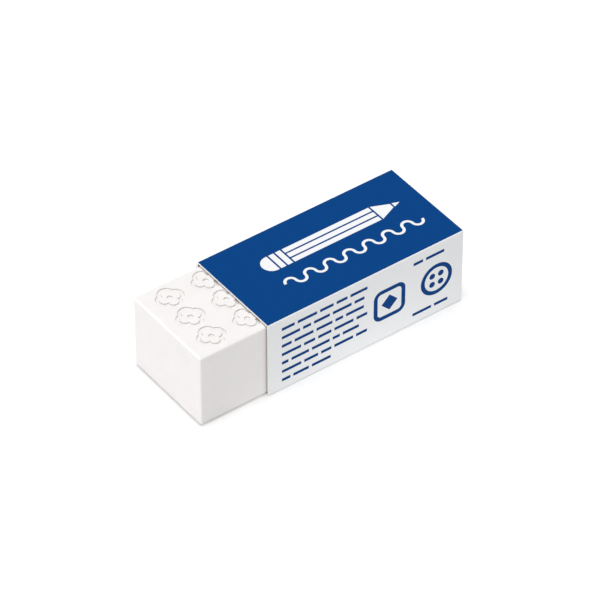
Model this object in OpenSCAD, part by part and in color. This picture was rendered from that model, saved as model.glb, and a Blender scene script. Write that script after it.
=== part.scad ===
// A white vinyl eraser block in a printed, folded card sleeve.
// X runs along the length, with the bare end of the block at -X. The printed
// long side of the sleeve is at -Y, and Z = 0 is the surface it rests on.

/* [Eraser block] */
// Length of the block
block_l = 50; // [44:0.5:60]
// Width of the block
block_w = 17.8; // [17.5:0.1:24]
// Height of the block
block_h = 13.75; // [12:0.05:18]
// Rounding of the block's edges
block_edge_r = 0.4; // [0.2:0.05:0.8]

/* [Relief on the block's top] */
// Depth of the pressed pattern
relief_depth = 0.25; // [0.05:0.05:0.6]
// Spacing of the motifs along the block
relief_pitch_x = 6.8; // [6:0.1:12]
// Spacing of the motifs across the block
relief_pitch_y = 5.5; // [5:0.1:9]
// Plain rim kept round the pattern
relief_rim = 0.8; // [0.8:0.1:3]
// Radius of each of a motif's four lobes
lobe_r = 1.45; // [1.2:0.05:1.5]
// Distance of each lobe from the motif's centre
lobe_shift = 1; // [0.8:0.05:1]
// Width of the pressed band that follows the lobes
lobe_band = 0.6; // [0.3:0.05:0.65]
// Radius of the round dimple in the motif's centre
dimple_r = 0.45; // [0.2:0.05:0.6]

/* [Card sleeve] */
// Length of the sleeve along the block
sleeve_l = 38; // [32:0.5:46]
// Length of block that shows at the open end
block_show = 12.5; // [5:0.5:18]
// Thickness of the card
card_t = 0.3; // [0.2:0.05:0.5]
// Inner radius of the card's folds
fold_inner_r = 0.05; // [0.02:0.01:0.5]
// Clearance between the block and each side of the sleeve
side_gap = 0.25; // [0.05:0.05:0.5]
// Clearance under the block
floor_gap = 0.05; // [0.02:0.01:0.3]
// Clearance over the block
head_gap = 0.25; // [0.1:0.05:0.8]
// Distance of the outer back panel's cut edge from the top
seam_drop = 0.7; // [0.6:0.1:4]
// Distance of the inner glue flap's cut edge from the floor
flap_lift = 0.6; // [0.4:0.1:4]

/* [Print on the sleeve's top] */
// Thickness of the ink
ink_t = 0.02; // [0.01:0.01:0.1]
// Bare card left between the blue field and each fold
field_inset = 0.02; // [0.02:0.01:0.5]
// Distance of the pencil mark from the open end
pencil_start = 7.3; // [3:0.1:12]
// Distance of the pencil mark from the rear end
pencil_end = 3.8; // [2:0.1:10]
// Height of the pencil mark
pencil_h = 3.6; // [2:0.1:4]
// Shift of the pencil mark from the middle of the panel
pencil_shift = 2.1; // [1.5:0.1:4]
// Length of the pencil mark's rubber end
pencil_rubber = 2.1; // [1.5:0.1:3]
// Length of the pencil mark's metal band
pencil_band = 2.3; // [1.5:0.1:3]
// Length of the pencil mark's sharpened cone
pencil_cone = 4.6; // [3:0.1:6]
// Height of the cone at its small end
pencil_lead_h = 1; // [0.6:0.1:1.4]
// Width of the blue lines that divide the pencil mark
pencil_line = 0.3; // [0.2:0.05:0.5]
// Distance of the wavy line from the open end
wave_start = 8; // [3:0.1:12]
// Shift of the wavy line from the middle of the panel
wave_shift = -3.2; // [-5:0.1:-2.5]
// Radius of the wavy line's half rings, at mid-stroke
wave_r = 0.95; // [0.6:0.05:1.2]
// Width of the wavy line's stroke
wave_line = 0.5; // [0.3:0.05:0.7]
// Number of half rings in the wavy line
wave_count = 14; // [4:1:16]

/* [Print on the sleeve's side] */
// Distance of the rows of bars from the open end
rows_start = 2.6; // [1.5:0.1:6]
// Spacing of the rows
row_pitch = 1.75; // [1.3:0.05:3]
// Height of a bar
bar_h = 0.55; // [0.3:0.05:0.9]
// Gap between two bars in a row
bar_gap = 0.6; // [0.4:0.05:1.2]
// Bare card above the first row and below the last one
row_margin = 1.9; // [1.2:0.1:4]
// Distance of the signs from the rear end
signs_end = 2.1; // [1.5:0.1:5]
// Size of each sign
sign_size = 6.2; // [4:0.1:7]
// Gap between the two signs
sign_gap = 3.1; // [1:0.1:5]
// Gap between the rows and the signs
column_gap = 1.3; // [0.8:0.1:3]
// Width of the signs' outline
sign_line = 0.75; // [0.4:0.05:1]
// Corner radius of the square sign
sign_corner = 1.5; // [1:0.1:2]
// Radius of each of the four dots in the round sign
sign_dot_r = 0.55; // [0.4:0.05:0.7]
// Distance of the dots from the round sign's two axes
sign_dot_shift = 0.85; // [0.75:0.05:1]
// Size of the small tilted square in the square sign
sign_square = 2.2; // [1:0.1:2.4]

/* [Colours] */
// Colour of the vinyl
block_colour = "#faf6f5";
// Colour of the bare card
card_colour = "#f0f0f1";
// Colour of the ink
ink_colour = "#104686";

/* [Hidden] */
$fn = 48;
corner_fn = 24;
fold_steps = 6;
// Depth to which the ink's solids reach into the card they are printed on
ink_root = card_t / 2;
// Outer radius of the folds
fold_r = fold_inner_r + card_t;
// Reach of a cutting shape past the face that it cuts
cut_over = 0.1;

cavity_w = block_w + 2 * side_gap;
cavity_h = floor_gap + block_h + head_gap;
// The back has two layers of card, the glue flap and the outer panel
sleeve_w = cavity_w + 3 * card_t;
sleeve_h = cavity_h + 2 * card_t;
total_l = max(block_l, block_show + sleeve_l);
front_x = -total_l / 2;
mouth_x = front_x + block_show;
front_y = -sleeve_w / 2;
flap_y = sleeve_w / 2 - card_t;
block_y = front_y + card_t + side_gap + block_w / 2;
block_z = card_t + floor_gap;

motif_size = 2 * (lobe_shift + lobe_r);
motifs_x = 1 + floor((block_l - 2 * relief_rim - motif_size) / relief_pitch_x);
motifs_y = 1 + floor((block_w - 2 * relief_rim - motif_size) / relief_pitch_y);

// The top panel lies between the two upper folds
top_w = flap_y - front_y - 2 * fold_r;
top_y = (flap_y + front_y) / 2;
pencil_l = sleeve_l - pencil_start - pencil_end;

signs_l = 2 * sign_size + sign_gap;
signs_x = sleeve_l - signs_end - signs_l;
rows_l = signs_x - column_gap - rows_start;
row_count = 1 + floor((sleeve_h - 2 * row_margin) / row_pitch);
rows_top = sleeve_h / 2 + (row_count - 1) * row_pitch / 2;
rows_bottom = rows_top - (row_count - 1) * row_pitch;
bar_short = 1.1;
bar_spread = 2.6;

// Length of bar number i in row j, by a rule that keeps neighbours unlike
function bar_l(i, j) = bar_short + bar_spread * abs(sin(57 * i + 83 * j + 31));
// Start of bar number i in row j
function bar_x(i, j) = i == 0 ? 0 : bar_x(i - 1, j) + bar_l(i - 1, j) + bar_gap;
// Points of an arc round centre c, from angle a to angle b
function arc(c, r, a, b) = [for (k = [0 : fold_steps])
    let (t = a + (b - a) * k / fold_steps) [c[0] + r * cos(t), c[1] + r * sin(t)]];

// Four discs round a centre, the outline of one motif
module quatrefoil(r) {
    circle(r = lobe_shift);
    for (a = [0 : 90 : 270])
        translate([lobe_shift * cos(a), lobe_shift * sin(a)]) circle(r = r);
}

// One pressed motif: a band that follows four lobes, and a dimple
module motif() {
    difference() {
        quatrefoil(lobe_r);
        quatrefoil(lobe_r - lobe_band);
    }
    circle(r = dimple_r);
}

// The block's soft-edged body
module rounded_block() {
    hull()
        for (x = [block_edge_r, block_l - block_edge_r],
             y = [block_edge_r - block_w / 2, block_w / 2 - block_edge_r],
             z = [block_edge_r, block_h - block_edge_r])
            translate([x, y, z]) sphere(r = block_edge_r, $fn = corner_fn);
}

module eraser_block() {
    color(block_colour)
        translate([front_x, block_y, block_z])
            difference() {
                rounded_block();
                translate([block_l / 2, 0, block_h - relief_depth])
                    linear_extrude(relief_depth + cut_over)
                        for (i = [0 : motifs_x - 1], j = [0 : motifs_y - 1])
                            translate([(i - (motifs_x - 1) / 2) * relief_pitch_x,
                                       (j - (motifs_y - 1) / 2) * relief_pitch_y])
                                motif();
            }
}

// The sleeve's section, with Y across and Z up: four panels and the glue flap
module sleeve_section() {
    back_y = sleeve_w / 2;
    in_front = front_y + card_t;
    in_flap = flap_y - card_t;
    in_top = sleeve_h - card_t;
    difference() {
        polygon(concat(
            arc([front_y + fold_r, fold_r], fold_r, 180, 270),
            arc([back_y - fold_r, fold_r], fold_r, 270, 360),
            [[back_y, sleeve_h - seam_drop], [flap_y, sleeve_h - seam_drop]],
            arc([flap_y - fold_r, sleeve_h - fold_r], fold_r, 0, 90),
            arc([front_y + fold_r, sleeve_h - fold_r], fold_r, 90, 180)));
        polygon(concat(
            arc([in_front + fold_inner_r, card_t + fold_inner_r], fold_inner_r, 180, 270),
            arc([flap_y - fold_inner_r, card_t + fold_inner_r], fold_inner_r, 270, 360),
            [[flap_y, card_t + flap_lift], [in_flap, card_t + flap_lift]],
            arc([in_flap - fold_inner_r, in_top - fold_inner_r], fold_inner_r, 0, 90),
            arc([in_front + fold_inner_r, in_top - fold_inner_r], fold_inner_r, 90, 180)));
    }
}

// A pencil lying along X with its point at the far end, centred on Y = 0
module pencil_mark() {
    half = pencil_h / 2;
    band_x = pencil_rubber + pencil_line;
    barrel_x = band_x + pencil_band + pencil_line;
    cone_x = pencil_l - pencil_cone;
    lead_l = pencil_lead_h * 1.3;
    // Rubber end, with a round left side
    intersection() {
        translate([half, 0]) circle(r = half);
        translate([0, -half]) square([half, pencil_h]);
    }
    translate([half, -half]) square([pencil_rubber - half, pencil_h]);
    // Metal band with one line round it
    for (k = [0, 1])
        translate([band_x + k * (pencil_band + pencil_line) / 2, -half])
            square([(pencil_band - pencil_line) / 2, pencil_h]);
    // Barrel in three strips
    strip_h = (pencil_h - 2 * pencil_line) / 3;
    for (k = [-1 : 1])
        translate([barrel_x, k * (strip_h + pencil_line) - strip_h / 2])
            square([cone_x - pencil_line - barrel_x, strip_h]);
    // Sharpened cone and lead
    polygon([[cone_x, -half], [pencil_l - lead_l - pencil_line, -pencil_lead_h / 2],
             [pencil_l - lead_l - pencil_line, pencil_lead_h / 2], [cone_x, half]]);
    polygon([[pencil_l - lead_l, -pencil_lead_h / 2], [pencil_l, 0],
             [pencil_l - lead_l, pencil_lead_h / 2]]);
}

// A wavy line of half rings, each turned over against the one before
module wavy_line() {
    outer = wave_r + wave_line / 2;
    for (k = [0 : wave_count - 1])
        translate([(2 * k + 1) * wave_r, 0])
            mirror([0, k % 2, 0])
                difference() {
                    circle(r = outer);
                    circle(r = wave_r - wave_line / 2);
                    translate([-outer, -2 * outer]) square(2 * outer);
                }
}

// One row of bars, l long
module bar_row(j, l) {
    for (i = [0 : ceil(l / (bar_short + bar_gap))])
        if (bar_x(i, j) + bar_short <= l)
            translate([bar_x(i, j), -bar_h / 2])
                square([min(bar_l(i, j), l - bar_x(i, j)), bar_h]);
}

// A square with round corners, centred
module rounded_square(s, r) {
    m = s / 2 - r;
    polygon(concat(arc([m, m], r, 0, 90), arc([-m, m], r, 90, 180),
                   arc([-m, -m], r, 180, 270), arc([m, -m], r, 270, 360)));
}

// The square and the round sign, and the short rows over and under them
module signs() {
    square_x = signs_x + sign_size / 2;
    round_x = square_x + sign_size + sign_gap;
    short_l = sign_size + sign_gap / 2;
    translate([square_x, sleeve_h / 2]) {
        difference() {
            rounded_square(sign_size, sign_corner);
            rounded_square(sign_size - 2 * sign_line, sign_corner - sign_line);
        }
        rotate(45) square(sign_square, center = true);
    }
    translate([round_x, sleeve_h / 2]) {
        difference() {
            circle(d = sign_size);
            circle(d = sign_size - 2 * sign_line);
        }
        for (x = [-sign_dot_shift, sign_dot_shift], y = [-sign_dot_shift, sign_dot_shift])
            translate([x, y]) circle(r = sign_dot_r);
    }
    translate([sleeve_l - signs_end - short_l, rows_top]) bar_row(2, short_l);
    translate([sleeve_l - signs_end - short_l, rows_bottom]) bar_row(5, short_l);
}

// Blue field over the top panel, with the white marks left out of it
module top_print() {
    field_w = top_w - 2 * field_inset;
    translate([mouth_x, top_y, sleeve_h - ink_root])
        linear_extrude(ink_root + ink_t)
            difference() {
                translate([0, -field_w / 2]) square([sleeve_l, field_w]);
                translate([pencil_start, pencil_shift]) pencil_mark();
                translate([wave_start, wave_shift]) wavy_line();
            }
}

// Blue rows and signs on the front side panel
module side_print() {
    translate([mouth_x, front_y + ink_root, 0])
        rotate([90, 0, 0])
            linear_extrude(ink_root + ink_t) {
                for (j = [0 : row_count - 1])
                    translate([rows_start, rows_top - j * row_pitch])
                        bar_row(j, j == row_count - 1 ? rows_l * 0.6 : rows_l);
                signs();
            }
}

module card_sleeve() {
    color(card_colour)
        translate([mouth_x, 0, 0])
            rotate([90, 0, 90]) linear_extrude(sleeve_l) sleeve_section();
    color(ink_colour) {
        top_print();
        side_print();
    }
}

eraser_block();
card_sleeve();
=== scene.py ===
import math

import bmesh
import bpy
from mathutils import Matrix, Vector


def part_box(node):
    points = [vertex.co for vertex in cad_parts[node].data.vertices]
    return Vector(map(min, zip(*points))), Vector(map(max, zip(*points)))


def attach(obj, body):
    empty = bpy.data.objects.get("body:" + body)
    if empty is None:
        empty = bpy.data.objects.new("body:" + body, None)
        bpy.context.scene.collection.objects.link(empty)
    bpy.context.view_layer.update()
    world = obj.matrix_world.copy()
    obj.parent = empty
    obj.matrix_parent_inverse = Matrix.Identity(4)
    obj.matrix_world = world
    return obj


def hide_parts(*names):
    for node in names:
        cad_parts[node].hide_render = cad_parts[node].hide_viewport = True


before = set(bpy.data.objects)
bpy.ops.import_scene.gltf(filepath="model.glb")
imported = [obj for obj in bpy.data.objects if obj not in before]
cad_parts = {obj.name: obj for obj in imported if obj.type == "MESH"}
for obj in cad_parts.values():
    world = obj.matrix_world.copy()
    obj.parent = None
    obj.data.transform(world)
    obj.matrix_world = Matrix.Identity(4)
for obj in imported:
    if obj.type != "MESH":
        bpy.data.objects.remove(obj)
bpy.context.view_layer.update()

bl_info = {
    "name": "Eraser in a card sleeve",
    "version": (1, 0, 0),
    "blender": (4, 5, 0),
    "location": "View3D > Sidebar > Eraser",
    "description": "Models a white vinyl eraser block and its printed, folded card sleeve",
    "category": "Add Mesh",
}

MM = 0.001
BLOCK_LOW, BLOCK_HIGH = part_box("eraser_block")
SLEEVE_LOW, SLEEVE_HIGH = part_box("card_sleeve")
SLEEVE_LENGTH = SLEEVE_HIGH.x - SLEEVE_LOW.x
SLEEVE_MIDDLE_X = (SLEEVE_LOW.x + SLEEVE_HIGH.x) / 2

# Vertices closer than this are one vertex
MERGE = 0.001 * MM
# Allowance for rounding, where copies are counted off and where a divisor could be nothing
ROUNDING = 1e-6

# How finely the round forms are divided
MOTIF_SIDES = 80
ROLL_STEPS = 4
EDGE_SEGMENTS = 6
FOLD_STEPS = 8
CORNER_STEPS = 8
WAVE_STEPS = 20
PENCIL_END_STEPS = 24
DOT_SIDES = 36
ROUND_SIGN_SIDES = 72

# Degrees by which the rule for the bars' lengths turns: a bar on, a row on, and at first
BAR_TURN = 57
ROW_TURN = 83
FIRST_TURN = 31


def linear(code):
    """An sRGB hex code as linear RGBA."""
    parts = [int(code[i:i + 2], 16) / 255 for i in (1, 3, 5)]
    return [p / 12.92 if p <= 0.04045 else ((p + 0.055) / 1.055) ** 2.4 for p in parts] + [1.0]


def length_prop(name, description, millimetres):
    """A length, kept in metres and given in millimetres."""
    return bpy.props.FloatProperty(
        name=name, description=description, default=millimetres * MM,
        min=0.0, precision=5, subtype="DISTANCE", unit="LENGTH",
    )


def colour_prop(name, description, code):
    """A colour, given as an sRGB hex code."""
    return bpy.props.FloatVectorProperty(
        name=name, description=description, default=linear(code), size=4,
        min=0.0, max=1.0, subtype="COLOR",
    )


class BlockSettings(bpy.types.PropertyGroup):
    """Sizes and colours of the vinyl block."""

    edge_radius: length_prop("Edge radius", "Rounding of the block's edges", 0.4)
    pitch_x: length_prop("Pitch along", "Spacing of the motifs along the block", 6.8)
    pitch_y: length_prop("Pitch across", "Spacing of the motifs across the block", 5.5)
    columns: bpy.props.IntProperty(
        name="Columns", description="Motifs along the block", default=7, min=1
    )
    rows: bpy.props.IntProperty(
        name="Rows", description="Motifs across the block", default=3, min=1
    )
    depth: length_prop("Relief depth", "Depth of the pressed pattern", 0.25)
    lobe_radius: length_prop("Lobe radius", "Radius of each of a motif's four lobes", 1.45)
    lobe_shift: length_prop("Lobe shift", "Distance of a lobe from the motif's centre", 1.0)
    band: length_prop("Band width", "Width of the pressed band along the lobes", 0.6)
    dimple_radius: length_prop("Dimple radius", "Radius of the dimple in the centre", 0.45)
    softness: length_prop("Softness", "Width over which a pressed edge rolls off", 0.12)
    vinyl: colour_prop("Vinyl", "Colour of the moulded vinyl", "#F1EEED")
    vinyl_shade: colour_prop("Vinyl shade", "Deeper tone of the vinyl's mottling", "#EEEBEA")
    # Painted highlight: the rounded edges are drawn lighter than the faces, as if lit
    painted_highlight: colour_prop("Vinyl with painted highlight", "Colour of the vinyl on its rubbed edges", "#F8F6F5")
    # Painted shade: the walls of the pressed pattern are drawn darker, as if in shadow
    pressed: colour_prop("Painted wall shade", "Colour of the vinyl in the pattern's walls", "#CBC7C5")


class SleeveSettings(bpy.types.PropertyGroup):
    """Sizes and colours of the folded card."""

    card: length_prop("Card", "Thickness of the card", 0.3)
    fold_radius: length_prop("Fold radius", "Outer radius of the folds", 0.35)
    seam_drop: length_prop("Seam drop", "Drop of the outer back panel's cut edge from the top", 0.7)
    flap_lift: length_prop("Flap lift", "Gap from the lower panel to the glue flap's cut edge", 0.6)
    glue: length_prop("Glue", "Thickness of the glue between the two back layers", 0.02)
    burr: length_prop("Cut edge", "Softening of the card's cut edges", 0.03)
    ink: length_prop("Ink", "Thickness of the ink on the card", 0.02)
    ink_root: length_prop("Ink root", "Depth that the ink soaks into the card", 0.01)
    card_white: colour_prop("Card white", "Colour of the coated card", "#F1F2F4")
    card_core: colour_prop("Card core", "Colour of the card's cut edges", "#F7F5F3")
    # Partly the board's own grey back, partly darkened as painted shade in the gaps between sleeve
    # and block
    card_back_and_shade: colour_prop("Card back and shade", "Colour of the uncoated inside", "#BDB7AD")
    ink_blue: colour_prop("Ink blue", "Colour of the ink", "#014182")


class TopPrintSettings(bpy.types.PropertyGroup):
    """The white marks in the blue field on the top panel."""

    front_wrap: bpy.props.FloatProperty(
        name="Front wrap", description="Degrees of the front fold that the ink covers",
        default=28.0, min=0.0, max=90.0,
    )
    back_wrap: bpy.props.FloatProperty(
        name="Back wrap", description="Degrees of the back fold that the ink covers",
        default=5.0, min=0.0, max=90.0,
    )
    start: length_prop("Pencil start", "Distance of the pencil mark from the open end", 7.3)
    end: length_prop("Pencil end", "Distance of the pencil mark from the rear end", 3.8)
    height: length_prop("Pencil height", "Height of the pencil mark", 3.6)
    shift: length_prop("Pencil shift", "Shift of the pencil mark from the panel's middle", 2.1)
    rubber: length_prop("Rubber end", "Length of the pencil mark's rubber end", 2.1)
    band: length_prop("Metal band", "Length of the pencil mark's metal band", 2.3)
    cone: length_prop("Cone", "Length of the pencil mark's sharpened cone", 4.6)
    lead: length_prop("Lead", "Length of the pencil mark's lead", 1.3)
    lead_height: length_prop("Lead height", "Height of the cone at its small end", 1.0)
    line: length_prop("Line", "Width of the blue lines that divide the mark", 0.3)
    wave_start: length_prop("Wave start", "Distance of the wavy line from the open end", 8.0)
    wave_drop: length_prop("Wave drop", "Distance of the wavy line below the panel's middle", 3.2)
    wave_radius: length_prop("Wave radius", "Radius of its half rings at mid-stroke", 0.95)
    wave_line: length_prop("Wave line", "Width of the wavy line's stroke", 0.5)
    wave_count: bpy.props.IntProperty(
        name="Half rings", description="Half rings in the wavy line", default=14, min=1
    )


class SidePrintSettings(bpy.types.PropertyGroup):
    """The blue rows and signs on the front side panel."""

    rows_start: length_prop("Rows start", "Distance of the rows from the open end", 2.6)
    pitch: length_prop("Row pitch", "Spacing of the rows", 1.75)
    bar: length_prop("Bar height", "Height of a bar", 0.55)
    gap: length_prop("Bar gap", "Gap between two bars in a row", 0.6)
    shortest: length_prop("Shortest bar", "Length of the shortest bar", 1.1)
    spread: length_prop("Bar spread", "How much longer the longest bar is", 2.6)
    margin: length_prop("Row margin", "Bare card above the first row and below the last", 1.9)
    last_row: bpy.props.FloatProperty(
        name="Last row", description="Share of the other rows' length that the last row fills",
        default=0.6, min=0.0, max=1.0,
    )
    signs_end: length_prop("Signs end", "Distance of the signs from the rear end", 2.1)
    sign: length_prop("Sign size", "Size of each sign", 6.2)
    sign_gap: length_prop("Sign gap", "Gap between the two signs", 3.1)
    column_gap: length_prop("Column gap", "Gap between the rows and the signs", 1.3)
    sign_line: length_prop("Sign line", "Width of the signs' outline", 0.75)
    corner: length_prop("Sign corner", "Corner radius of the square sign", 1.5)
    dot: length_prop("Dot radius", "Radius of each of the four dots in the round sign", 0.55)
    dot_shift: length_prop("Dot shift", "Distance of the dots from the round sign's axes", 0.85)
    square: length_prop("Small square", "Size of the tilted square in the square sign", 2.2)


class StageSettings(bpy.types.PropertyGroup):
    """The camera, the floor and the light."""

    azimuth: bpy.props.FloatProperty(
        name="Azimuth", description="Camera's turn round the part, from the printed side",
        default=math.radians(-36.44), subtype="ANGLE", unit="ROTATION",
    )
    elevation: bpy.props.FloatProperty(
        name="Elevation", description="Camera's height angle",
        default=math.radians(41.47), subtype="ANGLE", unit="ROTATION",
    )
    distance: length_prop("Distance", "Distance of the camera", 700.0)
    lens: bpy.props.FloatProperty(
        name="Lens", description="Focal length on a sensor 36 mm wide, in millimetres",
        default=264.7, min=1.0,
    )
    aim_left: length_prop("Aim left", "Distance of the aim to the left of the sleeve", 4.7)
    aim_up: length_prop("Aim up", "Distance of the aim above the middle of the sleeve's foot", 2.44)
    top: bpy.props.FloatProperty(
        name="Top light", description="Power of the light overhead, in watts", default=4.4, min=0.0
    )
    top_size: length_prop("Top light's size", "Width of the light overhead", 500.0)
    left: bpy.props.FloatProperty(
        name="Left light", description="Power of the low light on the left, in watts",
        default=3.66, min=0.0,
    )
    left_size: length_prop("Left light's size", "Width of the low light on the left", 700.0)
    left_from: bpy.props.FloatVectorProperty(
        name="Left light from", description="Direction in which the low light stands",
        default=(-1.0, 0.1, 0.16), subtype="DIRECTION",
    )
    light_distance: length_prop("Light distance", "Distance of both lights", 900.0)
    sky: bpy.props.FloatProperty(
        name="Sky light", description="Strength of the light from all round", default=0.5, min=0.0
    )
    floor_reach: length_prop("Floor reach", "Distance from the middle to the floor's sides", 1500.0)
    seen_glow: bpy.props.FloatProperty(
        name="Seen glow", description="Glow that keeps the floor white to the camera",
        default=0.06, min=0.0,
    )
    bounce: bpy.props.FloatProperty(
        name="Bounce", description="Share of its light that the floor throws back on the object",
        default=0.5, min=0.0, max=1.0,
    )
    glow: bpy.props.FloatProperty(
        name="Floor glow", description="Strength of the floor's own light on the object",
        default=0.41, min=0.0,
    )
    pool: bpy.props.FloatProperty(
        name="Glow by the sleeve", description="How much stronger the glow is at the sleeve",
        default=0.74, min=0.0,
    )
    pool_radius: length_prop("Glow radius", "Radius over which the stronger glow fades", 32.0)
    contact: length_prop("Contact", "Height under which the object blocks the glow", 0.6)


def add_node(tree, kind, inputs=None, **settings):
    """Adds a node, gives it its settings, and links or sets its inputs."""
    node = tree.nodes.new(kind)
    for name, value in settings.items():
        setattr(node, name, value)
    for key, value in (inputs or {}).items():
        if isinstance(value, bpy.types.NodeSocket):
            tree.links.new(value, node.inputs[key])
        else:
            node.inputs[key].default_value = value
    return node


def new_material(name):
    """An empty node material, its tree and its Object coordinates."""
    material = bpy.data.materials.new(name)
    material.use_nodes = True
    tree = material.node_tree
    tree.nodes.clear()
    place = add_node(tree, "ShaderNodeTexCoord").outputs["Object"]
    return material, tree, place


def finish_material(material, tree, shader):
    """Links the shader to the material's output."""
    add_node(tree, "ShaderNodeOutputMaterial", {"Surface": shader.outputs[0]})
    return material


def per_metre(millimetres):
    """A noise scale whose features are about this many millimetres across."""
    return 1.0 / (millimetres * MM)


def moulded_vinyl(settings):
    """Soft white PVC: matt and dusty with faint clouds, with a painted highlight on its rounded edges
    and painted shade on the walls of its pressed pattern.
    """
    material, tree, place = new_material("moulded_white_vinyl")
    clouds = add_node(tree, "ShaderNodeTexNoise", {
        "Vector": place, "Scale": per_metre(3.5), "Detail": 3.0, "Roughness": 0.55})
    tone = add_node(tree, "ShaderNodeMapRange", {
        "Value": clouds.outputs["Fac"], "From Min": 0.35, "From Max": 0.7})
    body = add_node(tree, "ShaderNodeMix", {
        "Factor": tone.outputs["Result"],
        "A": settings.vinyl,
        "B": settings.vinyl_shade}, data_type="RGBA")
    # Painted highlight: the vinyl turns lighter on the rounded edges
    edge = add_node(tree, "ShaderNodeAttribute", attribute_name="painted_highlight")
    with_highlight = add_node(tree, "ShaderNodeMix", {
        "Factor": edge.outputs["Fac"],
        "A": body.outputs["Result"],
        "B": settings.painted_highlight}, data_type="RGBA")
    # Painted shade: the vinyl turns grey on the walls of the pressed pattern
    wall_shade = add_node(tree, "ShaderNodeAttribute", attribute_name="pressed")
    colour = add_node(tree, "ShaderNodeMix", {
        "Factor": wall_shade.outputs["Fac"],
        "A": with_highlight.outputs["Result"],
        "B": settings.pressed}, data_type="RGBA")
    # Powdery grain, drawn 0.2 mm across, coarser than the real bloom, so that it shows
    grain = add_node(tree, "ShaderNodeTexNoise", {
        "Vector": place, "Scale": per_metre(0.2), "Detail": 4.0, "Roughness": 0.6})
    rough = add_node(tree, "ShaderNodeMapRange", {
        "Value": grain.outputs["Fac"], "To Min": 0.48, "To Max": 0.68})
    powder = add_node(tree, "ShaderNodeBump", {
        "Height": grain.outputs["Fac"], "Strength": 0.25, "Distance": 0.02 * MM})
    # Upright streaks about 0.4 mm apart, which the blade left on the cut sides
    upright = add_node(tree, "ShaderNodeMapping", {"Vector": place, "Scale": (1.0, 1.0, 0.03)})
    streaks = add_node(tree, "ShaderNodeTexNoise", {
        "Vector": upright.outputs["Vector"], "Scale": per_metre(0.4), "Detail": 3.0})
    bump = add_node(tree, "ShaderNodeBump", {
        "Height": streaks.outputs["Fac"], "Strength": 0.2, "Distance": 0.03 * MM,
        "Normal": powder.outputs["Normal"]})
    shader = add_node(tree, "ShaderNodeBsdfPrincipled", {
        "Base Color": colour.outputs["Result"],
        "Roughness": rough.outputs["Result"],
        "IOR": 1.53,
        "Specular IOR Level": 0.3,
        "Subsurface Weight": 0.05,
        "Subsurface Radius": (1.0, 0.9, 0.85),
        "Subsurface Scale": 0.25 * MM,
        "Normal": bump.outputs["Normal"]})
    return finish_material(material, tree, shader)


def card_material(name, base, darkest, roughest, fibre, relief, gloss):
    """Paper board whose fibres, fibre millimetres apart, show in its tone and its bump."""
    material, tree, place = new_material(name)
    turned = add_node(tree, "ShaderNodeMapping", {"Vector": place, "Scale": (0.3, 1.0, 1.0)})
    fibres = add_node(tree, "ShaderNodeTexNoise", {
        "Vector": turned.outputs["Vector"], "Scale": per_metre(fibre), "Detail": 5.0,
        "Roughness": 0.65, "Distortion": 0.4})
    tone = add_node(tree, "ShaderNodeMapRange", {
        "Value": fibres.outputs["Fac"], "From Min": 0.3, "From Max": 0.7,
        "To Min": darkest, "To Max": 1.0})
    colour = add_node(tree, "ShaderNodeMix", {
        "Factor": tone.outputs["Result"],
        "A": (0.0, 0.0, 0.0, 1.0),
        "B": base}, data_type="RGBA")
    rough = add_node(tree, "ShaderNodeMapRange", {
        "Value": fibres.outputs["Fac"], "To Min": roughest - 0.08, "To Max": roughest})
    bump = add_node(tree, "ShaderNodeBump", {
        "Height": fibres.outputs["Fac"], "Strength": relief, "Distance": 0.02 * MM})
    shader = add_node(tree, "ShaderNodeBsdfPrincipled", {
        "Base Color": colour.outputs["Result"],
        "Roughness": rough.outputs["Result"],
        "Specular IOR Level": gloss,
        "Normal": bump.outputs["Normal"]})
    return finish_material(material, tree, shader)


def coated_card(settings):
    """Clay-coated white board: smooth, faintly cool, with a hint of the fibres under the coating."""
    return card_material(
        "coated_white_card", settings.card_white,
        darkest=0.97, roughest=0.55, fibre=0.25, relief=0.12, gloss=0.2)


def cut_card(settings):
    """The board's cut edge: bleached pulp, duller than the coating and furry with cut fibres."""
    return card_material(
        "cut_card_edge", settings.card_core,
        darkest=0.94, roughest=0.95, fibre=0.09, relief=0.6, gloss=0.1)


def uncoated_card(settings):
    """The board's bare back, inside the sleeve: warm grey, darkened beyond the board's own grey as
    painted shade in the gaps between sleeve and block; rough, with fibres that show.
    """
    return card_material(
        "uncoated_card_back_and_shade", settings.card_back_and_shade,
        darkest=0.86, roughest=0.92, fibre=0.35, relief=0.5, gloss=0.1)


def offset_ink(settings):
    """One solid of offset ink on card: flat and matt, with the faint mottle of the press."""
    name = "blue_offset_ink"
    made = bpy.data.materials.get(name)
    return made or card_material(
        name, settings.ink_blue,
        darkest=0.94, roughest=0.6, fibre=0.18, relief=0.1, gloss=0.04)


def new_object(name, data):
    """An object in the scene, for a mesh, a lamp or a camera."""
    thing = bpy.data.objects.new(name, data)
    bpy.context.scene.collection.objects.link(thing)
    return thing


def only(kind, geom):
    """The parts of one kind among what an operator gives back."""
    return [part for part in geom if isinstance(part, kind)]


def piece_from(bm, name, body, materials):
    """Closes a bmesh into a smooth-shaded object that rides on a body."""
    mesh = bpy.data.meshes.new(name)
    bm.to_mesh(mesh)
    bm.free()
    for material in materials:
        mesh.materials.append(material)
    mesh.polygons.foreach_set("use_smooth", [True] * len(mesh.polygons))
    piece = new_object(name, mesh)
    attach(piece, body)
    return piece


def crisp(piece):
    """Smooth shading with hard edges where faces meet at more than 30 degrees."""
    piece.data.set_sharp_from_angle(angle=math.radians(30))


def even_normals(piece):
    """Keeps flat faces flat in shading beside their rounded edges."""
    modifier = piece.modifiers.new("flat_faces", "WEIGHTED_NORMAL")
    modifier.keep_sharp = True
    modifier.weight = 100


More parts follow.
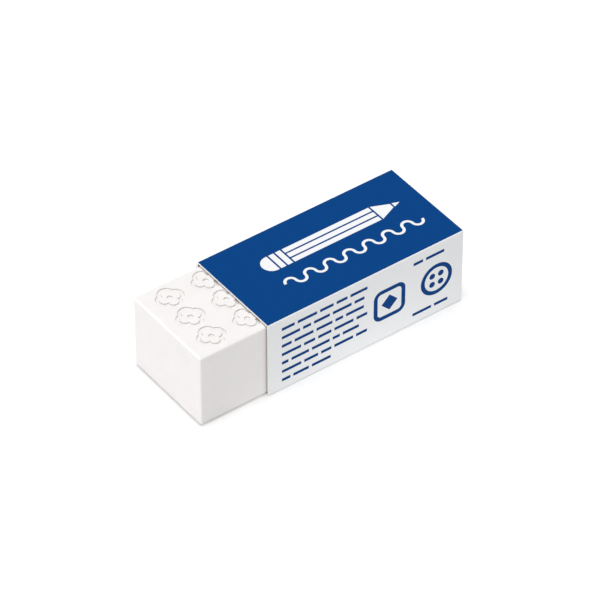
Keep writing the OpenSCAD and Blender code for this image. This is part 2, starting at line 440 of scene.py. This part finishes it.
def prism(bm, outline, height):
    """A closed solid on a flat outline at Z = 0."""
    face = bm.faces.new([bm.verts.new((x, y, 0.0)) for x, y in outline])
    raise_faces(bm, [face], height)


def raise_faces(bm, faces, height):
    """Turns flat faces at Z = 0 into a closed solid, height tall."""
    kept = bmesh.ops.duplicate(bm, geom=faces)["geom"]
    bmesh.ops.reverse_faces(bm, faces=only(bmesh.types.BMFace, kept))
    lifted = bmesh.ops.extrude_face_region(bm, geom=faces)["geom"]
    bmesh.ops.translate(bm, verts=only(bmesh.types.BMVert, lifted), vec=(0.0, 0.0, height))
    bmesh.ops.delete(bm, geom=faces, context="FACES_ONLY")


def box_outline(x, y, width, height):
    """Corners of a rectangle from its low corner."""
    return [(x, y), (x + width, y), (x + width, y + height), (x, y + height)]


def arc_outline(x, y, radius, start, end, steps):
    """Points of an arc, angles in degrees."""
    angles = [math.radians(start + (end - start) * k / steps) for k in range(steps + 1)]
    return [(x + radius * math.cos(a), y + radius * math.sin(a)) for a in angles]


def round_outline(x, y, radius, sides):
    """Points round a circle."""
    return arc_outline(x, y, radius, 0, 360, sides)[1:]


def lobe_reach(angle, radius, shift):
    """Distance from a motif's centre to its four-lobed outline, at an angle."""
    turn = (angle + math.pi / 4) % (math.pi / 2) - math.pi / 4
    chord = radius ** 2 - (shift * math.sin(turn)) ** 2
    return max(shift, shift * math.cos(turn) + math.sqrt(max(chord, 0.0)))


def grow_ring(bm, rim, reach, depth):
    """Extrudes a motif's outermost edges to a new ring: reach gives its radius at an angle."""
    grown = bmesh.ops.extrude_edge_only(bm, edges=rim)["geom"]
    for vert in only(bmesh.types.BMVert, grown):
        angle = math.atan2(vert.co.y, vert.co.x)
        radius = reach(angle)
        vert.co = (radius * math.cos(angle), radius * math.sin(angle), -depth)
    return [edge for edge in only(bmesh.types.BMEdge, grown) if len(edge.link_faces) == 1]


def roll_off(bm, rim, outline, settings, sinking):
    """Rings across a pressed edge, where the surface rolls down into the band or up out of it."""
    # One ring more on each side keeps the flat surface flat in shading
    for step in range(-1, ROLL_STEPS + 2):
        across = (step / ROLL_STEPS - 0.5) * settings.softness
        share = min(max(step / ROLL_STEPS, 0.0), 1.0)
        smooth = share * share * (3 - 2 * share)
        depth = settings.depth * (smooth if sinking else 1 - smooth)
        rim = grow_ring(bm, rim, lambda angle: outline(angle, across), depth)
    return rim


def motif_cell(settings):
    """One pressed motif in its rectangle of flat surface, centred, as a mesh."""
    half_x, half_y = settings.pitch_x / 2, settings.pitch_y / 2
    corner = math.atan2(half_y, half_x)
    side = 2 * math.pi / MOTIF_SIDES
    snapped = round(corner / side) * side

    def lobes(radius):
        return lambda angle, across: lobe_reach(angle, radius + across, settings.lobe_shift)

    def cell_edge(angle):
        folded = abs(math.atan(math.tan(angle)))
        if abs(folded - snapped) < side / 4:
            return None
        across_x, across_y = max(math.cos(folded), ROUNDING), max(math.sin(folded), ROUNDING)
        return min(half_x / across_x, half_y / across_y)

    def dimple(angle, across):
        return settings.dimple_radius + across

    # The rings start from a small disc, the flat bottom of the dimple
    bm = bmesh.new()
    bottom_radius = settings.dimple_radius / 4
    bmesh.ops.create_circle(bm, cap_ends=True, segments=MOTIF_SIDES, radius=bottom_radius)
    bmesh.ops.translate(bm, verts=bm.verts, vec=(0.0, 0.0, -settings.depth))
    rim = roll_off(bm, list(bm.edges), dimple, settings, sinking=False)
    rim = roll_off(bm, rim, lobes(settings.lobe_radius - settings.band), settings, sinking=True)
    rim = roll_off(bm, rim, lobes(settings.lobe_radius), settings, sinking=False)
    grown = bmesh.ops.extrude_edge_only(bm, edges=rim)["geom"]
    for vert in only(bmesh.types.BMVert, grown):
        angle = math.atan2(vert.co.y, vert.co.x)
        radius = cell_edge(angle)
        if radius is None:
            vert.co = (math.copysign(half_x, vert.co.x), math.copysign(half_y, vert.co.y), 0.0)
        else:
            vert.co = (radius * math.cos(angle), radius * math.sin(angle), 0.0)
    bmesh.ops.recalc_face_normals(bm, faces=bm.faces)
    if sum(face.normal.z for face in bm.faces) < 0:
        bmesh.ops.reverse_faces(bm, faces=bm.faces)
    cell = bpy.data.meshes.new("motif_cell")
    bm.to_mesh(cell)
    bm.free()
    return cell


def mark_painted_highlight(bm):
    """Marks how far each vertex lies in a rounded edge, for the painted highlight there: 0 on a flat
    face, 1 in its middle.
    """
    bm.normal_update()
    layer = bm.verts.layers.float["painted_highlight"]
    halfway = math.cos(math.radians(45))
    for vert in bm.verts:
        square_on = max(abs(part) for part in vert.normal)
        vert[layer] = min((1.0 - square_on) / (1.0 - halfway), 1.0)


def mark_painted_wall_shade(bm, verts, surface, depth):
    """Marks how far each vertex lies in a pressed wall, for the painted shade there: 0 at its foot
    and top, 1 half-way up.
    """
    layer = bm.verts.layers.float["pressed"]
    for vert in verts:
        sunk = min(max((surface - vert.co.z) / depth, 0.0), 1.0)
        vert[layer] = math.sin(math.pi * sunk)


def press_motifs(bm, settings, top_z):
    """Lays a grid of motif cells at the height of the block's top and joins them to one another."""
    cell = motif_cell(settings)
    before = set(bm.verts)
    for i in range(settings.columns):
        for j in range(settings.rows):
            known = set(bm.verts)
            bm.from_mesh(cell)
            added = [vert for vert in bm.verts if vert not in known]
            shift = Vector((
                (i - (settings.columns - 1) / 2) * settings.pitch_x,
                (j - (settings.rows - 1) / 2) * settings.pitch_y,
                top_z))
            bmesh.ops.translate(bm, verts=added, vec=shift)
    bpy.data.meshes.remove(cell)
    grid = [vert for vert in bm.verts if vert not in before]
    # Painted shade on the motifs' walls
    mark_painted_wall_shade(bm, grid, top_z, settings.depth)
    bmesh.ops.remove_doubles(bm, verts=grid, dist=MERGE)


def make_block(settings, materials):
    """The vinyl block: a box with soft edges whose top face carries the pressed motifs."""
    size = BLOCK_HIGH - BLOCK_LOW
    middle = (BLOCK_HIGH + BLOCK_LOW) / 2
    bm = bmesh.new()
    # Layers for the painted highlight on the rounded edges and the painted shade on the pattern's
    # walls
    for name in ("painted_highlight", "pressed"):
        bm.verts.layers.float.new(name)
    bmesh.ops.create_cube(bm, size=1.0)
    bmesh.ops.scale(bm, vec=size, verts=bm.verts)
    bmesh.ops.bevel(
        bm, geom=list(bm.edges), offset=settings.edge_radius, offset_type="OFFSET",
        segments=EDGE_SEGMENTS, profile=0.5, affect="EDGES", material=-1)
    mark_painted_highlight(bm)
    top = max(bm.faces, key=lambda face: face.calc_center_median().z)
    top_edges = list(top.edges)
    bmesh.ops.delete(bm, geom=[top], context="FACES_ONLY")
    press_motifs(bm, settings, size.z / 2)
    # Flat vinyl fills the top between the outermost cells and the rounded edges
    rim = [edge for edge in bm.edges if len(edge.link_faces) == 1]
    bmesh.ops.triangle_fill(
        bm, edges=list(set(rim + top_edges)), use_beauty=True, normal=(0.0, 0.0, 1.0))
    bmesh.ops.translate(bm, verts=bm.verts, vec=middle)
    block = piece_from(bm, "vinyl_block", "block", materials)
    even_normals(block)
    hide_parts("eraser_block")


def make_sleeve(settings, materials):
    """The sleeve, folded as the real one: a strip bent round four folds, then given its thickness."""
    front_y = SLEEVE_LOW.y + settings.ink
    top_z = SLEEVE_HIGH.z - settings.ink
    flap_y = SLEEVE_HIGH.y - settings.card - settings.glue
    blank = [
        (flap_y, settings.card + settings.flap_lift),
        (flap_y, top_z),
        (front_y, top_z),
        (front_y, 0.0),
        (SLEEVE_HIGH.y, 0.0),
        (SLEEVE_HIGH.y, top_z - settings.seam_drop),
    ]
    bm = bmesh.new()
    line = [bm.verts.new((SLEEVE_LOW.x, y, z)) for y, z in blank]
    edges = [bm.edges.new(pair) for pair in zip(line, line[1:])]
    swept = bmesh.ops.extrude_edge_only(bm, edges=edges)["geom"]
    far = only(bmesh.types.BMVert, swept)
    bmesh.ops.translate(bm, verts=far, vec=(SLEEVE_LENGTH, 0.0, 0.0))
    bmesh.ops.recalc_face_normals(bm, faces=bm.faces)
    lowest = min(bm.faces, key=lambda face: face.calc_center_median().z)
    if lowest.normal.z > 0:
        bmesh.ops.reverse_faces(bm, faces=bm.faces)
    for face in bm.faces:
        face.material_index = 1 if face == lowest else 0
    folds = [edge for edge in bm.edges if len(edge.link_faces) == 2]
    bmesh.ops.bevel(
        bm, geom=folds, offset=settings.fold_radius, offset_type="OFFSET",
        segments=EDGE_SEGMENTS, profile=0.5, affect="EDGES", material=0)
    sleeve = piece_from(bm, "folded_card", "sleeve", materials)
    thick = sleeve.modifiers.new("card", "SOLIDIFY")
    thick.thickness = settings.card
    thick.offset = -1.0
    thick.use_even_offset = True
    # Materials 0 and 1 are outside, 2 and 3 the same panels inside, 4 and 5 their cut edges
    thick.material_offset = 2
    thick.material_offset_rim = 4
    burr = sleeve.modifiers.new("cut_edges", "BEVEL")
    burr.width = settings.burr
    burr.segments = 2
    burr.limit_method = "ANGLE"
    burr.angle_limit = math.radians(60)
    even_normals(sleeve)
    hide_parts("card_sleeve")


def pencil_mark(bm, settings, length, height):
    """A pencil lying along X from 0 to length, in strips that lines of the ground colour divide."""
    half = settings.height / 2
    line = settings.line
    band_x = settings.rubber + line
    barrel_x = band_x + settings.band + line
    cone_x = length - settings.cone
    lead_x = length - settings.lead
    small = settings.lead_height / 2
    end = arc_outline(half, 0.0, half, 90, 270, PENCIL_END_STEPS)
    prism(bm, end + [(settings.rubber, -half), (settings.rubber, half)], height)
    band_part = (settings.band - line) / 2
    for k in range(2):
        x = band_x + k * (settings.band + line) / 2
        prism(bm, box_outline(x, -half, band_part, settings.height), height)
    strip = (settings.height - 2 * line) / 3
    for k in (-1, 0, 1):
        y = k * (strip + line) - strip / 2
        prism(bm, box_outline(barrel_x, y, cone_x - line - barrel_x, strip), height)
    neck_x = lead_x - line
    prism(bm, [(cone_x, -half), (neck_x, -small), (neck_x, small), (cone_x, half)], height)
    prism(bm, [(lead_x, -small), (length, 0.0), (lead_x, small)], height)


def wavy_line(bm, settings, height):
    """A wavy stroke along X from 0: one edge spun through half rings that turn to and fro."""
    radius = settings.wave_radius
    half = settings.wave_line / 2
    tip = [bm.verts.new((x, 0.0, 0.0)) for x in (-half, half)]
    geom = tip + [bm.edges.new(tip)]
    before = set(bm.faces)
    for k in range(settings.wave_count):
        turn = -math.pi if k % 2 == 0 else math.pi
        spun = bmesh.ops.spin(
            bm, geom=geom, cent=((2 * k + 1) * radius, 0.0, 0.0), axis=(0.0, 0.0, 1.0),
            angle=turn, steps=WAVE_STEPS)
        geom = spun["geom_last"]
    faces = [face for face in bm.faces if face not in before]
    bmesh.ops.recalc_face_normals(bm, faces=faces)
    if faces[0].normal.z < 0:
        bmesh.ops.reverse_faces(bm, faces=faces)
    raise_faces(bm, faces, height)


def wrapped_profile(sleeve, settings):
    """Outline in YZ of the ink on the top panel, which runs on over its two folds."""
    radius = sleeve.fold_radius
    low_y = SLEEVE_LOW.y + sleeve.ink + radius
    high_y = SLEEVE_HIGH.y - sleeve.card - radius
    z = SLEEVE_HIGH.z - sleeve.ink - radius
    front, back = 90 + settings.front_wrap, 90 - settings.back_wrap
    outer, inner = radius + sleeve.ink, radius - sleeve.ink_root
    return (arc_outline(high_y, z, outer, back, 90, FOLD_STEPS)
            + arc_outline(low_y, z, outer, 90, front, FOLD_STEPS)
            + arc_outline(low_y, z, inner, front, 90, FOLD_STEPS)
            + arc_outline(high_y, z, inner, 90, back, FOLD_STEPS))


def marks_cutter(sleeve, settings):
    """The pencil mark and the wavy line as solids that cut through the ink on the top panel."""
    card_z = SLEEVE_HIGH.z - sleeve.ink
    middle_y = (SLEEVE_LOW.y + sleeve.ink + SLEEVE_HIGH.y - sleeve.card) / 2
    length = SLEEVE_LENGTH - settings.start - settings.end
    reach = 2 * sleeve.ink
    bm = bmesh.new()
    pencil_mark(bm, settings, length, 2 * reach)
    bmesh.ops.translate(bm, verts=bm.verts, vec=(settings.start, settings.shift, 0.0))
    known = set(bm.verts)
    wavy_line(bm, settings, 2 * reach)
    added = [vert for vert in bm.verts if vert not in known]
    bmesh.ops.translate(bm, verts=added, vec=(settings.wave_start, -settings.wave_drop, 0.0))
    bmesh.ops.remove_doubles(bm, verts=bm.verts, dist=MERGE)
    bmesh.ops.recalc_face_normals(bm, faces=bm.faces)
    bmesh.ops.translate(bm, verts=bm.verts, vec=(SLEEVE_LOW.x, middle_y, card_z - reach))
    mesh = bpy.data.meshes.new("marks")
    bm.to_mesh(mesh)
    bm.free()
    return new_object("marks", mesh)


def cut_out(piece, cutter):
    """Cuts the cutter out of the piece for good, and removes the cutter."""
    cut = piece.modifiers.new("cut", "BOOLEAN")
    cut.operation = "DIFFERENCE"
    cut.solver = "EXACT"
    cut.object = cutter
    bpy.context.view_layer.update()
    seen = piece.evaluated_get(bpy.context.evaluated_depsgraph_get())
    finished = bpy.data.meshes.new_from_object(seen)
    piece.modifiers.remove(cut)
    piece.data = finished
    bpy.data.objects.remove(cutter)


def make_top_print(sleeve, settings, materials):
    """The blue field on the top panel, with the pencil mark and the wavy line cut out of it."""
    bm = bmesh.new()
    start_x, end_x = SLEEVE_LOW.x + sleeve.burr, SLEEVE_HIGH.x - sleeve.burr
    profile = wrapped_profile(sleeve, settings)
    face = bm.faces.new([bm.verts.new((start_x, y, z)) for y, z in profile])
    swept = bmesh.ops.extrude_face_region(bm, geom=[face])["geom"]
    far = only(bmesh.types.BMVert, swept)
    bmesh.ops.translate(bm, verts=far, vec=(end_x - start_x, 0.0, 0.0))
    bmesh.ops.recalc_face_normals(bm, faces=bm.faces)
    field = piece_from(bm, "top_ink", "sleeve", materials)
    cut_out(field, marks_cutter(sleeve, settings))
    crisp(field)


def bar_row(bm, settings, row, length, height, x, y):
    """One row of bars, whose lengths follow a rule that keeps neighbours unlike."""
    reach, i = 0.0, 0
    while reach + settings.shortest <= length:
        turn = math.radians(BAR_TURN * i + ROW_TURN * row + FIRST_TURN)
        bar = settings.shortest + settings.spread * abs(math.sin(turn))
        shown = min(bar, length - reach)
        prism(bm, box_outline(x + reach, y - settings.bar / 2, shown, settings.bar), height)
        reach += bar + settings.gap
        i += 1


def rounded_outline(x, y, size, radius):
    """A square with round corners."""
    m = size / 2 - radius
    corners = [(m, m, 0), (-m, m, 90), (-m, -m, 180), (m, -m, 270)]
    return [point for cx, cy, start in corners
            for point in arc_outline(x + cx, y + cy, radius, start, start + 90, CORNER_STEPS)]


def sign_band(bm, outline, line, height):
    """The band, line wide, inside a sign's outline, as a closed solid."""
    face = bm.faces.new([bm.verts.new((x, y, 0.0)) for x, y in outline])
    face.normal_update()
    before = set(bm.faces)
    bmesh.ops.inset_individual(bm, faces=[face], thickness=line, use_even_offset=True)
    band = [other for other in bm.faces if other not in before]
    bmesh.ops.delete(bm, geom=[face], context="FACES_ONLY")
    raise_faces(bm, band, height)


def side_rows(bm, settings, panel, signs_x, thick):
    """The rows of bars beside the signs, and a short row over and under the round sign."""
    rows_length = signs_x - settings.column_gap - settings.rows_start
    count = 1 + int((panel - 2 * settings.margin) / settings.pitch + ROUNDING)
    first = panel / 2 + (count - 1) * settings.pitch / 2
    last = first - (count - 1) * settings.pitch
    for row in range(count):
        shown = rows_length * (settings.last_row if row == count - 1 else 1.0)
        bar_row(bm, settings, row, shown, thick, settings.rows_start, first - row * settings.pitch)
    short = settings.sign + settings.sign_gap / 2
    short_x = SLEEVE_LENGTH - settings.signs_end - short
    # The short rows take their bars' lengths from rows 2 and 5, so that they are unlike
    for like_row, y in ((2, first), (5, last)):
        bar_row(bm, settings, like_row, short, thick, short_x, y)


def side_signs(bm, settings, panel, signs_x, thick):
    """The square sign with its tilted square, and the round sign with its four dots."""
    square_x = signs_x + settings.sign / 2
    round_x = square_x + settings.sign + settings.sign_gap
    y = panel / 2
    for outline in (
            rounded_outline(square_x, y, settings.sign, settings.corner),
            round_outline(round_x, y, settings.sign / 2, ROUND_SIGN_SIDES)):
        sign_band(bm, outline, settings.sign_line, thick)
    reach = settings.square / math.sqrt(2)
    prism(bm, round_outline(square_x, y, reach, 4), thick)
    for shift_x in (-settings.dot_shift, settings.dot_shift):
        for shift_y in (-settings.dot_shift, settings.dot_shift):
            dot = round_outline(round_x + shift_x, y + shift_y, settings.dot, DOT_SIDES)
            prism(bm, dot, thick)


def make_side_print(sleeve, settings, materials):
    """The blue rows of bars and the two signs on the front side panel."""
    panel = SLEEVE_HIGH.z - sleeve.ink
    thick = sleeve.ink + sleeve.ink_root
    signs_x = SLEEVE_LENGTH - settings.signs_end - 2 * settings.sign - settings.sign_gap
    bm = bmesh.new()
    side_rows(bm, settings, panel, signs_x, thick)
    side_signs(bm, settings, panel, signs_x, thick)
    bmesh.ops.remove_doubles(bm, verts=bm.verts, dist=MERGE)
    bmesh.ops.recalc_face_normals(bm, faces=bm.faces)
    upright = Matrix.Rotation(math.pi / 2, 4, "X")
    place = Matrix.Translation((SLEEVE_LOW.x, SLEEVE_LOW.y + thick, 0.0)) @ upright
    bmesh.ops.transform(bm, matrix=place, verts=bm.verts)
    crisp(piece_from(bm, "side_ink", "sleeve", materials))


def make_camera(settings):
    """A long lens at the photo's viewing angle, aimed beside the sleeve's middle."""
    turn, height = settings.azimuth, settings.elevation
    back = Vector((math.sin(turn) * math.cos(height),
                   -math.cos(turn) * math.cos(height), math.sin(height)))
    right = (-back).cross(Vector((0.0, 0.0, 1.0))).normalized()
    up = right.cross(-back)
    sleeve_middle = Vector((SLEEVE_MIDDLE_X, 0.0, 0.0))
    aim = sleeve_middle - right * settings.aim_left + up * settings.aim_up
    data = bpy.data.cameras.new("view")
    data.sensor_width = 36.0
    data.lens = settings.lens
    data.clip_start = 0.01
    data.clip_end = 10.0
    camera = new_object("view", data)
    camera.rotation_euler = back.to_track_quat("Z", "Y").to_euler()
    camera.location = aim + back * settings.distance
    bpy.context.scene.camera = camera


def area_light(name, direction, distance, size, power):
    """A square soft box that faces the object."""
    data = bpy.data.lights.new(name, "AREA")
    data.shape = "SQUARE"
    data.size = size
    data.energy = power
    light = new_object(name, data)
    direction = Vector(direction).normalized()
    light.location = direction * distance
    light.rotation_euler = direction.to_track_quat("Z", "Y").to_euler()


def seen_rays(tree):
    """1 for what the camera sees, directly, in a gloss or through glass, and 0 for other rays."""
    path = add_node(tree, "ShaderNodeLightPath")
    seen = path.outputs["Is Camera Ray"]
    for name in ("Is Glossy Ray", "Is Transmission Ray"):
        either = add_node(tree, "ShaderNodeMath", {
            0: seen, 1: path.outputs[name]}, operation="MAXIMUM")
        seen = either.outputs[0]
    return seen


def white_world(strength):
    """Even white light, and a plain white background to the camera."""
    world = bpy.data.worlds.new("studio")
    bpy.context.scene.world = world
    world.use_nodes = True
    tree = world.node_tree
    tree.nodes.clear()
    white = (1.0, 1.0, 1.0, 1.0)
    light = add_node(tree, "ShaderNodeBackground", {"Color": white, "Strength": strength})
    backdrop = add_node(tree, "ShaderNodeBackground", {"Color": white, "Strength": 1.0})
    mix = add_node(tree, "ShaderNodeMixShader", {
        0: seen_rays(tree), 1: light.outputs[0], 2: backdrop.outputs[0]})
    add_node(tree, "ShaderNodeOutputWorld", {"Surface": mix.outputs[0]})


def paper_shader(tree, matt, glow):
    """Matt white paper that glows with the light that comes through it."""
    paper = add_node(tree, "ShaderNodeBsdfDiffuse", {"Color": (matt, matt, matt, 1.0)})
    light = add_node(tree, "ShaderNodeEmission", {"Strength": glow})
    return add_node(tree, "ShaderNodeAddShader", {0: paper.outputs[0], 1: light.outputs[0]})


def floor_material(settings):
    """White paper on a light table: plain white to the camera, and it lights the object's sides."""
    material, tree, place = new_material("white_paper_sweep")
    # The glow is strongest at the sleeve's middle and fades to the floor's own over the radius
    share = 1.0 / settings.pool_radius
    near = add_node(tree, "ShaderNodeMapping", {
        "Vector": place,
        "Location": (-SLEEVE_MIDDLE_X * share, 0.0, 0.0),
        "Scale": (share, share, share)})
    pool = add_node(tree, "ShaderNodeTexGradient", {
        "Vector": near.outputs["Vector"]}, gradient_type="SPHERICAL")
    glow = add_node(tree, "ShaderNodeMath", {
        0: pool.outputs["Fac"], 1: settings.pool, 2: settings.glow}, operation="MULTIPLY_ADD")
    # It doesn't glow where the object lies on it or close over it, so that the foot stays dark
    bare = add_node(tree, "ShaderNodeAmbientOcclusion", {"Distance": settings.contact})
    thrown = add_node(tree, "ShaderNodeMath", {
        0: glow.outputs[0], 1: bare.outputs["AO"]}, operation="MULTIPLY")
    seen = paper_shader(tree, 1.0, settings.seen_glow)
    bounced = paper_shader(tree, settings.bounce, thrown.outputs[0])
    mix = add_node(tree, "ShaderNodeMixShader", {
        0: seen_rays(tree), 1: bounced.outputs[0], 2: seen.outputs[0]})
    return finish_material(material, tree, mix)


def make_floor(settings):
    """A plain floor that runs out of the picture."""
    bm = bmesh.new()
    bmesh.ops.create_grid(bm, x_segments=1, y_segments=1, size=settings.floor_reach)
    mesh = bpy.data.meshes.new("floor")
    bm.to_mesh(mesh)
    bm.free()
    mesh.materials.append(floor_material(settings))
    new_object("floor", mesh)


class ERASER_OT_block(bpy.types.Operator):
    """Model the vinyl block with its pressed motifs"""

    bl_idname = "eraser.block"
    bl_label = "Vinyl block"

    def execute(self, context):
        settings = context.scene.eraser_block
        make_block(settings, [moulded_vinyl(settings)])
        return {"FINISHED"}


class ERASER_OT_sleeve(bpy.types.Operator):
    """Fold the card sleeve, whose lower panel is blue"""

    bl_idname = "eraser.sleeve"
    bl_label = "Card sleeve"

    def execute(self, context):
        sleeve = context.scene.eraser_sleeve
        card, ink = coated_card(sleeve), offset_ink(sleeve)
        inside, edge = uncoated_card(sleeve), cut_card(sleeve)
        make_sleeve(sleeve, [card, ink, inside, inside, edge, edge])
        return {"FINISHED"}


class ERASER_OT_top_print(bpy.types.Operator):
    """Print the blue field with its pencil mark and wavy line on the top panel"""

    bl_idname = "eraser.top_print"
    bl_label = "Print on the top"

    def execute(self, context):
        sleeve = context.scene.eraser_sleeve
        make_top_print(sleeve, context.scene.eraser_top_print, [offset_ink(sleeve)])
        return {"FINISHED"}


class ERASER_OT_side_print(bpy.types.Operator):
    """Print the blue rows and signs on the front side panel"""

    bl_idname = "eraser.side_print"
    bl_label = "Print on the side"

    def execute(self, context):
        sleeve = context.scene.eraser_sleeve
        make_side_print(sleeve, context.scene.eraser_side_print, [offset_ink(sleeve)])
        return {"FINISHED"}


class ERASER_OT_stage(bpy.types.Operator):
    """Set the floor, the light and the camera"""

    bl_idname = "eraser.stage"
    bl_label = "Stage"

    def execute(self, context):
        settings = context.scene.eraser_stage
        make_camera(settings)
        make_floor(settings)
        white_world(settings.sky)
        distance = settings.light_distance
        area_light("top", (0.0, 0.0, 1.0), distance, settings.top_size, settings.top)
        area_light("left", settings.left_from, distance, settings.left_size, settings.left)
        context.scene.view_settings.view_transform = "Standard"
        return {"FINISHED"}


class ERASER_PT_sidebar(bpy.types.Panel):
    """Lists the pieces of the eraser"""

    bl_idname = "ERASER_PT_sidebar"
    bl_label = "Eraser"
    bl_space_type = "VIEW_3D"
    bl_region_type = "UI"
    bl_category = "Eraser"

    def draw(self, context):
        for group, owner in SETTINGS.items():
            box = self.layout.box()
            for name in owner.__annotations__:
                box.prop(getattr(context.scene, group), name)
        for operator in OPERATORS:
            self.layout.operator(operator.bl_idname)


SETTINGS = {
    "eraser_block": BlockSettings,
    "eraser_sleeve": SleeveSettings,
    "eraser_top_print": TopPrintSettings,
    "eraser_side_print": SidePrintSettings,
    "eraser_stage": StageSettings,
}
OPERATORS = (
    ERASER_OT_block, ERASER_OT_sleeve, ERASER_OT_top_print, ERASER_OT_side_print, ERASER_OT_stage)
CLASSES = (*SETTINGS.values(), *OPERATORS, ERASER_PT_sidebar)


def register():
    """Registers the classes and hangs the settings on the scene."""
    for cls in CLASSES:
        bpy.utils.register_class(cls)
    for group, owner in SETTINGS.items():
        setattr(bpy.types.Scene, group, bpy.props.PointerProperty(type=owner))


def unregister():
    """Takes the settings and the classes away again."""
    for group in SETTINGS:
        delattr(bpy.types.Scene, group)
    for cls in reversed(CLASSES):
        bpy.utils.unregister_class(cls)


def main():
    """Makes every piece and the stage."""
    register()
    bpy.ops.eraser.block()
    bpy.ops.eraser.sleeve()
    bpy.ops.eraser.top_print()
    bpy.ops.eraser.side_print()
    bpy.ops.eraser.stage()


if __name__ == "__main__":
    main()
